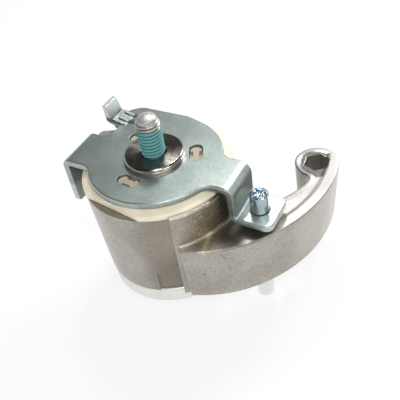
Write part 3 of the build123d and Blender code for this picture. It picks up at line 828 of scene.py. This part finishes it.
@dataclass(frozen=True)
class CoatedThread(Finish):
    """A steel bolt whose thread carries a blue-green locking coat, bare near its point, with painted shade in
    the thread's roots and painted light on its crests.
    """

    bare: Colour = (0.58, 0.57, 0.55)
    bare_dark: Colour = (0.34, 0.33, 0.31)
    root_shade: Colour = (0.07, 0.07, 0.065)
    coat: Colour = (0.015, 0.085, 0.09)
    coat_light: Colour = (0.14, 0.39, 0.395)
    coat_top_z: float = 9.6
    coat_bottom_z: float = -0.6
    coat_unevenness: float = 2.2
    thread_top_z: float = 12.0
    root_r: float = 3.25
    crest_r: float = 3.95

    def wire(self, net: SurfaceNet) -> Feeds:
        """Builds the bolt's nodes.

        Args:
            net: The material's nodes.

        Returns:
            What each input of the Principled shader gets.
        """
        uneven = net.maths("SUBTRACT", net.noise(net.place, 0.8, 3.0, 0.6), 0.5)
        uneven = net.times(uneven, self.coat_unevenness)
        level = net.maths("ADD", net.z, uneven)
        below = net.remap(level, self.coat_top_z - 0.25, self.coat_top_z + 0.25, 1.0, 0.0)
        above = net.remap(level, self.coat_bottom_z - 0.3, self.coat_bottom_z + 0.3)
        coated = net.times(below, above)
        speckle = net.put(Effect.SPECKLE, Scale=2.6)
        grain = speckle["Mask"]
        crest = net.remap(net.radius(), self.root_r, self.crest_r)
        bare = net.mix(grain, self.bare_dark, self.bare)
        threaded = net.remap(net.z, self.thread_top_z - 0.3, self.thread_top_z, 1.0, 0.0)
        # Painted shade in the roots of the bare thread.
        sunk = net.times(net.remap(crest, 0.1, 0.7, 0.85, 0.0), threaded)
        bare = net.mix(sunk, bare, self.root_shade)
        # The coat is painted lighter on the crests and darker in the roots, as painted light and shade, mixed
        # with its grain.
        coat = net.mix(net.weigh(grain, 0.35, crest), self.coat, self.coat_light)
        rough = net.remap(coated, 0.0, 1.0, 0.44, 0.62)
        rough = net.maths("ADD", rough, net.times(net.maths("SUBTRACT", grain, 0.5), 0.16))
        bevelled = net.put(Effect.BEVELLED_EDGES, Radius=0.15)
        return {
            "Base Color": net.mix(coated, bare, coat),
            "Metallic": net.remap(coated, 0.0, 1.0, 0.7, 0.0),
            "Roughness": rough,
            "Normal": net.bump(speckle["Height"], 0.03, 0.6, bevelled["Normal"]),
        }


@dataclass(frozen=True)
class PinZinc(PlatedZinc):
    """Bright zinc on the lock pin, with a rough shear-cut face at its top."""

    top_z: float = -7.0
    low_z: float = -38.0
    chip_tones: tuple[tuple[float, Colour], ...] = (
        (0.0, (0.03, 0.06, 0.10)),
        (0.45, (0.09, 0.15, 0.20)),
        (1.0, (0.38, 0.46, 0.52)),
    )

    def wire(self, net: SurfaceNet) -> Feeds:
        """Builds the pin's nodes.

        Args:
            net: The material's nodes.

        Returns:
            What each input of the Principled shader gets.
        """
        feeds = super().wire(net)
        face = net.remap(net.z, self.top_z - 0.12, self.top_z - 0.04)
        chips = net.add("TexVoronoi", {"Vector": net.place, "Scale": 1.5, "Randomness": 1.0}, feature="F1")
        tint = net.parts_of(chips.outputs["Color"])
        low = net.remap(net.z, self.low_z, self.low_z - 6.0, 0.0, 0.7)
        colour = net.mix(low, feeds["Base Color"], self.edge)
        colour = net.mix(face, colour, net.ramp(tint[1], self.chip_tones))
        rugged = net.times(net.maths("ADD", tint[0], net.noise(net.place, 2.2, 3.0, 0.7)), face)
        return {**feeds, "Base Color": colour, "Normal": net.bump(rugged, 0.16, 1.0, feeds["Normal"])}


@dataclass(frozen=True)
class DrawnSteel(Finish):
    """Spring wire, sintered bronze or another plain worked metal, with drawing marks and dull blots."""

    light: Colour = (0.34, 0.33, 0.32)
    dark: Colour = (0.16, 0.155, 0.15)
    roughness: float = 0.32
    speckle_scale: float = 1.6

    def wire(self, net: SurfaceNet) -> Feeds:
        """Builds the metal's nodes.

        Args:
            net: The material's nodes.

        Returns:
            What each input of the Principled shader gets.
        """
        speckle = net.put(Effect.SPECKLE, Scale=self.speckle_scale)
        lines = net.put(Effect.SCRATCHES, Scale=1.2, Amount=1.0)["Mask"]
        colour = net.mix(speckle["Mask"], self.dark, self.light)
        colour = net.cover(colour, lines, 0.3, self.light)
        rough = net.remap(speckle["Mask"], 0.0, 1.0, self.roughness + 0.12, self.roughness)
        normal = net.bump(speckle["Height"], 0.02, 0.5)
        return {"Base Color": colour, "Metallic": 1.0, "Roughness": rough, "Normal": normal}


@dataclass(frozen=True)
class FrictionMaterial(Finish):
    """Pressed friction lining: dark fibres and crumbs in a dull binder."""

    binder: Colour = (0.045, 0.042, 0.038)
    fibre: Colour = (0.26, 0.22, 0.15)

    def wire(self, net: SurfaceNet) -> Feeds:
        """Builds the lining's nodes.

        Args:
            net: The material's nodes.

        Returns:
            What each input of the Principled shader gets.
        """
        speckle = net.put(Effect.SPECKLE, Scale=3.2)
        fibres = net.put(Effect.SCRATCHES, Scale=2.5, Amount=1.6)["Mask"]
        crumbs = net.remap(speckle["Mask"], 0.55, 0.9)
        colour = net.mix(net.maths("MAXIMUM", crumbs, fibres), self.binder, self.fibre)
        rough = net.remap(speckle["Mask"], 0.0, 1.0, 0.78, 0.95)
        normal = net.bump(speckle["Height"], 0.05, 0.8)
        return {"Base Color": colour, "Metallic": 0.0, "Roughness": rough, "Normal": normal}


def piece_of(name: str, mesh: bmesh.types.BMesh, sharp_deg: float = 32.0) -> bpy.types.Object:
    """Makes a piece of a mesh.

    Args:
        name: The piece's name.
        mesh: Its mesh, which is freed.
        sharp_deg: Edges that turn by more than this stay sharp.

    Returns:
        The piece.
    """
    bmesh.ops.recalc_face_normals(mesh, faces=mesh.faces)
    for face in mesh.faces:
        face.smooth = True
    for edge in mesh.edges:
        edge.smooth = edge.calc_face_angle(0.0) < math.radians(sharp_deg)
    data = bpy.data.meshes.new(name)
    mesh.to_mesh(data)
    mesh.free()
    made = bpy.data.objects.new(name, data)
    bpy.context.scene.collection.objects.link(made)
    return made


class RingStack:
    """A mesh that is built as rings about the bolt axis, each with the same number of vertices."""

    def __init__(self, steps: int) -> None:
        """Starts an empty stack.

        Args:
            steps: How many vertices a ring has.
        """
        self.mesh = bmesh.new()
        self.steps = steps
        self.rings: list[list[bmesh.types.BMVert]] = []

    def ring(self, radius: Radius, z: float) -> None:
        """Adds a ring.

        Args:
            radius: The radius, or what gives it for an angle in radians and a height.
            z: The height.
        """
        ring = []
        for i in range(self.steps):
            angle = 2 * math.pi * i / self.steps
            reach = (radius(angle, z) if callable(radius) else radius) * MM
            ring.append(self.mesh.verts.new((reach * math.cos(angle), reach * math.sin(angle), z * MM)))
        self.rings.append(ring)

    def tip(self, z: float) -> None:
        """Adds a ring that is a single point on the axis."""
        self.rings.append([self.mesh.verts.new((0.0, 0.0, z * MM))] * self.steps)

    def piece(self, name: str, sharp_deg: float) -> bpy.types.Object:
        """Joins each ring to the next with faces, and makes a piece of them.

        Args:
            name: The piece's name.
            sharp_deg: Edges that turn by more than this stay sharp.

        Returns:
            The piece.
        """
        for low, high in zip(self.rings, self.rings[1:]):
            for i in range(self.steps):
                after = (i + 1) % self.steps
                corners = list(dict.fromkeys((low[i], low[after], high[after], high[i])))
                if len(corners) > 2:
                    self.mesh.faces.new(corners)
        return piece_of(name, self.mesh, sharp_deg)


@dataclass
class SubAssembly:
    """A group of pieces that is built and dressed together."""

    shelf: EffectShelf
    nodes: dict[str, bpy.types.Object]

    def coat(self, piece: bpy.types.Object, finish: Finish) -> None:
        """Gives a piece one finish all over.

        Args:
            piece: The piece or CAD node.
            finish: Its finish.
        """
        material = finish.make(self.shelf)
        if not piece.data.materials:
            piece.data.materials.append(material)
        for i in range(len(piece.data.materials)):
            piece.data.materials[i] = material
        log.info("%s: %s, %d faces", piece.name, finish.name, len(piece.data.polygons))

    def build(self) -> None:
        """Builds the sub-assembly's own meshes and dresses all its pieces."""
        raise NotImplementedError


@dataclass
class BaseGroup(SubAssembly):
    """What is held still: plate, plastic bush and washer, spring, lining and front disc."""

    scuffs: tuple[Mark, ...] = (((5.6, -16.6, -2.3), (8.8, -15.3, -2.3), 0.45),)
    # The bush's lugs get painted shade above this height.
    lug_shade_from_z: float = -4.5

    def build(self) -> None:
        """Dresses the CAD nodes of the base."""
        black = {"light": (0.10, 0.10, 0.10), "dark": (0.05, 0.05, 0.05), "grime": (0.2, 0.2, 0.2)}
        # The front disc's zinc is made paler, a painted reflection of the white floor.
        pale = {"light": (0.84, 0.86, 0.80), "dark": (0.66, 0.69, 0.63), "metallic": 0.6}
        finishes = {
            "base_plate": PlatedZinc("zinc_sheet", scuffs=self.scuffs),
            "spring_bush": MouldedPlastic("cream_plastic", lug_shade_from_z=self.lug_shade_from_z),
            "hub_washer": MouldedPlastic("washer_plastic", **black),
            "torsion_spring": DrawnSteel("spring_steel"),
            "friction_lining": FrictionMaterial("friction_material"),
            "front_disc": PlatedZinc("zinc_disc", roughness=0.3, fold_shade_share=0.0, **pale),
        }
        for node, finish in finishes.items():
            self.coat(self.nodes[node], finish)


@dataclass
class PivotShaft(SubAssembly):
    """The turned sleeve: flange, body and riveted end, in one lathe mesh that stands for the CAD node."""

    bore_r: float = 4.25
    flange_r: float = 10.0
    flange_t: float = 2.3
    body_r: float = 6.5
    spigot_r: float = 5.5
    rivet_r: float = 8.2
    disc_top_z: float = -42.85
    disc_bottom_z: float = -44.75
    end_z: float = -46.0
    crown: float = 0.06
    crown_margins: Span = (0.5, 0.55)
    crown_rows: int = 8
    bore_edge: tuple[Span, ...] = ((0.0, 0.35), (0.3, 0.02))
    rim_edge: tuple[Span, ...] = ((0.42, 0.13), (0.12, 0.38), (0.02, 0.55), (0.0, 0.75))
    rim_groove: tuple[Span, ...] = ((0.0, 1.02), (0.14, 1.1), (0.14, 1.22), (0.0, 1.3))
    rivet_edge: tuple[Span, ...] = ((0.0, 0.55), (0.15, 0.2), (0.5, 0.0))
    steps: int = 160

    def profile(self) -> list[Span]:
        """Draws half the sleeve's section.

        Returns:
            Radius and height of its points, all the way round.
        """
        points = [(self.bore_r, self.end_z)]
        points += [(self.bore_r + outset, -drop) for outset, drop in self.bore_edge]
        inner, outer = self.bore_r + self.crown_margins[0], self.flange_r - self.crown_margins[1]
        for i in range(self.crown_rows + 1):
            share = i / self.crown_rows
            points.append((inner + (outer - inner) * share, -self.crown * share**2))
        points += [(self.flange_r - inset, -drop) for inset, drop in self.rim_edge + self.rim_groove]
        points += [(self.flange_r, -self.flange_t), (self.body_r, -self.flange_t)]
        points += [(self.body_r, self.disc_top_z), (self.spigot_r, self.disc_top_z)]
        points += [(self.spigot_r, self.disc_bottom_z), (self.rivet_r, self.disc_bottom_z)]
        points += [(self.rivet_r - inset, self.end_z + rise) for inset, rise in self.rivet_edge]
        return points

    def build(self) -> None:
        """Turns the sleeve and puts it in the CAD node's place."""
        stack = RingStack(self.steps)
        for radius, z in self.profile():
            stack.ring(radius, z)
        stack.rings.append(stack.rings[0])
        sleeve = stack.piece("pivot_sleeve", 20.0)
        self.coat(sleeve, TurnedSteel("ground_steel"))
        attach(sleeve, "base")
        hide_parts("pivot_shaft")


@dataclass
class MountingBolt(SubAssembly):
    """The mounting bolt with its real helical thread, domed dog point, flange and hexagon head."""

    major_r: float = 4.0
    pitch: float = 1.25
    thread_depth: float = 0.72
    crest_share: float = 0.25
    root_share: float = 0.125
    thread_from_z: float = -0.4
    thread_to_z: float = 12.1
    run_in: float = 0.6
    run_out: float = 0.9
    shank_r: float = 3.6
    dog_r: float = 3.1
    dog_from_z: float = 12.5
    dog_to_z: float = 13.05
    dome_from_z: float = 13.2
    dome_rows: int = 9
    tip_z: float = 14.0
    flange_r: float = 8.5
    flange_t: float = 2.2
    seat_z: float = -46.0
    floor_z: float = -55.5
    flange_back: tuple[Span, ...] = ((0.9, 0.0), (0.25, 0.12), (0.0, 0.45))
    flange_face: tuple[Span, ...] = ((0.0, 0.15), (0.15, 0.0))
    across_flats: float = 13.0
    head_end_r: float = 4.16
    head_rises: tuple[float, ...] = (0.0, 0.35, 0.8, 1.4)
    head_bevel_share: float = 0.955
    head_bevel_slope: float = 1.75
    steps: int = 96
    rows_per_mm: int = 10

    def thread_r(self, angle: float, z: float) -> float:
        """Finds the thread's radius.

        Args:
            angle: The angle round the axis, in radians.
            z: The height.

        Returns:
            The radius there.
        """
        turns = (z - self.pitch * angle / (2 * math.pi)) / self.pitch
        off_crest = abs((turns % 1.0) - 0.5) * 2
        root = 1.0 - self.root_share
        ridge = min(max((root - off_crest) / (root - self.crest_share), 0.0), 1.0)
        fade_low = min(max((z - self.thread_from_z) / self.run_in, 0.0), 1.0)
        fade_high = min(max((self.thread_to_z - z) / self.run_out, 0.0), 1.0)
        full = self.major_r - self.thread_depth * (1 - ridge)
        low = self.shank_r + (full - self.shank_r) * fade_low
        return self.dog_r + (low - self.dog_r) * math.sqrt(fade_high)

    def hexagon_r(self, angle: float, z: float) -> float:
        """Finds the head's radius, with its corners bevelled at the free end.

        Args:
            angle: The angle round the axis, in radians.
            z: The height.

        Returns:
            The radius there.
        """
        flat = self.across_flats / 2
        corner = flat / math.cos((angle % (math.pi / 3)) - math.pi / 6)
        return min(corner, flat * self.head_bevel_share + (z - self.floor_z) * self.head_bevel_slope)

    def _head(self, stack: RingStack) -> None:
        """Builds the hexagon head and its flange.

        Args:
            stack: The bolt's rings.
        """
        top = self.seat_z - self.flange_t
        stack.tip(self.floor_z)
        stack.ring(self.head_end_r, self.floor_z)
        for rise in (*self.head_rises, top - self.floor_z):
            stack.ring(self.hexagon_r, self.floor_z + rise)
        for inset, rise in self.flange_back:
            stack.ring(self.flange_r - inset, top + rise)
        for inset, drop in self.flange_face:
            stack.ring(self.flange_r - inset, self.seat_z - drop)
        stack.ring(self.shank_r, self.seat_z)

    def _thread(self, stack: RingStack) -> None:
        """Builds the thread.

        Args:
            stack: The bolt's rings.
        """
        rows = round((self.thread_to_z - self.thread_from_z) * self.rows_per_mm)
        for i in range(rows + 1):
            stack.ring(self.thread_r, self.thread_from_z + i / self.rows_per_mm)

    def _point(self, stack: RingStack) -> None:
        """Builds the dog point with its domed end.

        Args:
            stack: The bolt's rings.
        """
        rise = self.tip_z - self.dome_from_z
        dome_r = (self.dog_r**2 + rise**2) / (2 * rise)
        stack.ring(self.dog_r, self.dog_from_z)
        stack.ring(self.dog_r, self.dog_to_z)
        for i in range(1, self.dome_rows):
            radius = self.dog_r * math.cos(i / self.dome_rows * math.pi / 2)
            stack.ring(radius, self.tip_z - dome_r + math.sqrt(dome_r**2 - radius**2))
        stack.tip(self.tip_z)

    def build(self) -> None:
        """Builds the bolt and puts it in the CAD node's place."""
        stack = RingStack(self.steps)
        for part in (self._head, self._thread, self._point):
            part(stack)
        bolt = stack.piece("threaded_bolt", 50.0)
        self.coat(bolt, CoatedThread("bolt_steel"))
        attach(bolt, "bolt")
        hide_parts("mounting_bolt")


@dataclass
class ArmCasting(SubAssembly):
    """The drum with its arm, and the sliding bush press-fitted into its hub."""

    def build(self) -> None:
        """Dresses the CAD nodes of the arm."""
        self.coat(self.nodes["tension_arm"], CastAluminium("cast_aluminium"))
        bronze = {"light": (0.62, 0.42, 0.22), "dark": (0.42, 0.27, 0.13), "speckle_scale": 3.0}
        self.coat(self.nodes["pivot_bush"], DrawnSteel("bronze_liner", **bronze))


@dataclass
class LockPin(SubAssembly):
    """The pin that holds the arm against the spring."""

    def build(self) -> None:
        """Dresses the pin."""
        bright = {"light": (0.50, 0.56, 0.60), "dark": (0.28, 0.33, 0.37), "fold_shade_share": 0.0}
        finish = PinZinc("zinc_pin", roughness=0.14, roughness_spread=0.08, **bright)
        self.coat(self.nodes["lock_pin"], finish)


@dataclass(frozen=True)
class Panel:
    """A soft square lamp."""

    name: str
    where_m: Point
    side_m: float
    power: float
    seen_in_metal: bool = True

    def hang(self, target_m: Point) -> None:
        """Hangs the lamp, facing a point.

        Args:
            target_m: The point.
        """
        data = bpy.data.lights.new(self.name, "AREA")
        data.shape = "SQUARE"
        data.size = self.side_m
        data.energy = self.power
        lamp = bpy.data.objects.new(self.name, data)
        lamp.location = self.where_m
        lamp.rotation_euler = (Vector(target_m) - Vector(self.where_m)).to_track_quat("-Z", "Y").to_euler()
        lamp.visible_camera = False
        lamp.visible_glossy = self.seen_in_metal
        bpy.context.scene.collection.objects.link(lamp)


@dataclass
class Studio:
    """Floor, surroundings, lamps and camera."""

    floor_z_m: float = -0.0555
    floor_half_m: float = 6.0
    floor_grey: float = 0.9
    floor_shine: float = 0.80
    side_levels: Span = (0.72, 1.12)
    side_from_height: Span = (0.14, 0.42)
    overhead: tuple[Span, ...] = ((0.0, 1.0), (0.15, 1.0), (0.42, 0.06), (1.0, 0.03))
    target_m: Point = (0.015, 0.0, -0.02)
    camera_m: Point = (0.012105, -0.152319, 0.116690)
    camera_pitch_deg: float = 42.93
    camera_roll_deg: float = -9.8
    lens: float = 52.9965
    panels: tuple[Panel, ...] = (
        Panel("right_back_panel", (0.375, 0.345, 0.345), 0.17, 2.1),
        Panel("compact_panel", (0.084, 0.361, 0.479), 0.065, 1.0),
        Panel("top_back_panel", (0.045, 0.290, 0.527), 0.18, 0.66),
        Panel("front_top_panel", (0.015, -0.31, 0.517), 0.22, 1.5),
        Panel("front_right_panel", (0.30, -0.42, 0.336), 0.28, 0.75),
        Panel("soft_front_fill", (-0.35, -0.60, 0.30), 0.60, 1.3, seen_in_metal=False),
    )

    def lay_floor(self) -> None:
        """Lays a pale floor that is white to the camera and in metal, and keeps a part of its shadow."""
        mesh = bmesh.new()
        side = self.floor_half_m
        spots = [(-side, -side), (side, -side), (side, side), (-side, side)]
        mesh.faces.new([mesh.verts.new((x, y, self.floor_z_m)) for x, y in spots])
        floor = piece_of("studio_floor", mesh)
        material = bpy.data.materials.new("white_floor")
        material.use_nodes = True
        material.node_tree.nodes.clear()
        net = NodeNet(material.node_tree)
        rays = net.add("LightPath").outputs
        seen = net.maths("MAXIMUM", rays["Is Camera Ray"], rays["Is Glossy Ray"])
        seen = net.maths("MAXIMUM", seen, rays["Is Transmission Ray"])
        matt = net.add("BsdfDiffuse", {"Color": (self.floor_grey, self.floor_grey, self.floor_grey, 1.0)})
        shine = net.add("Emission", {"Color": (1.0, 1.0, 1.0, 1.0), "Strength": 1.0})
        share = net.times(seen, self.floor_shine)
        both = net.add("MixShader", {0: share, 1: matt.outputs[0], 2: shine.outputs[0]})
        net.add("OutputMaterial", {"Surface": both.outputs[0]})
        floor.data.materials.append(material)

    def surround(self) -> None:
        """Sets surroundings that are white at the horizon and darker overhead, most of all to the left."""
        world = bpy.data.worlds.new("studio_surroundings")
        bpy.context.scene.world = world
        world.use_nodes = True
        world.node_tree.nodes.clear()
        net = NodeNet(world.node_tree)
        x, _, z = net.parts_of(net.add("TexCoord").outputs["Generated"])
        tone = net.ramp(z, tuple((height, (grey, grey, grey)) for height, grey in self.overhead))
        side = net.remap(x, -0.9, 0.9, *self.side_levels, soft=True)
        up = net.remap(z, *self.side_from_height)
        level = net.add("Mix", {0: up, 2: 1.0, 3: side}, data_type="FLOAT").outputs[0]
        shade = net.add("Background", {"Color": tone, "Strength": level})
        net.add("OutputWorld", {"Surface": shade.outputs[0]})

    def set_camera(self) -> None:
        """Sets the camera at the photograph's viewing angle."""
        lean = Matrix.Rotation(math.radians(90.0 - self.camera_pitch_deg), 4, "X")
        roll = Matrix.Rotation(math.radians(self.camera_roll_deg), 4, "Z")
        data = bpy.data.cameras.new("studio_camera")
        data.lens = self.lens
        data.sensor_width = 36.0
        data.clip_start, data.clip_end = 0.01, 50.0
        camera = bpy.data.objects.new("studio_camera", data)
        bpy.context.scene.collection.objects.link(camera)
        camera.matrix_world = Matrix.Translation(self.camera_m) @ lean @ roll
        bpy.context.scene.camera = camera

    def build(self) -> None:
        """Sets up the whole studio."""
        self.lay_floor()
        self.surround()
        for panel in self.panels:
            panel.hang(self.target_m)
        self.set_camera()
        bpy.context.scene.view_settings.view_transform = "Standard"


def main() -> None:
    """Loads the frame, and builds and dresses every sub-assembly."""
    logging.basicConfig(level=logging.INFO, format="%(name)s: %(message)s")
    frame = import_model()
    shelf = EffectShelf()
    for kind in (BaseGroup, PivotShaft, ArmCasting, MountingBolt, LockPin):
        kind(shelf, frame["nodes"]).build()
    Studio().build()


if __name__ == "__main__":
    main()
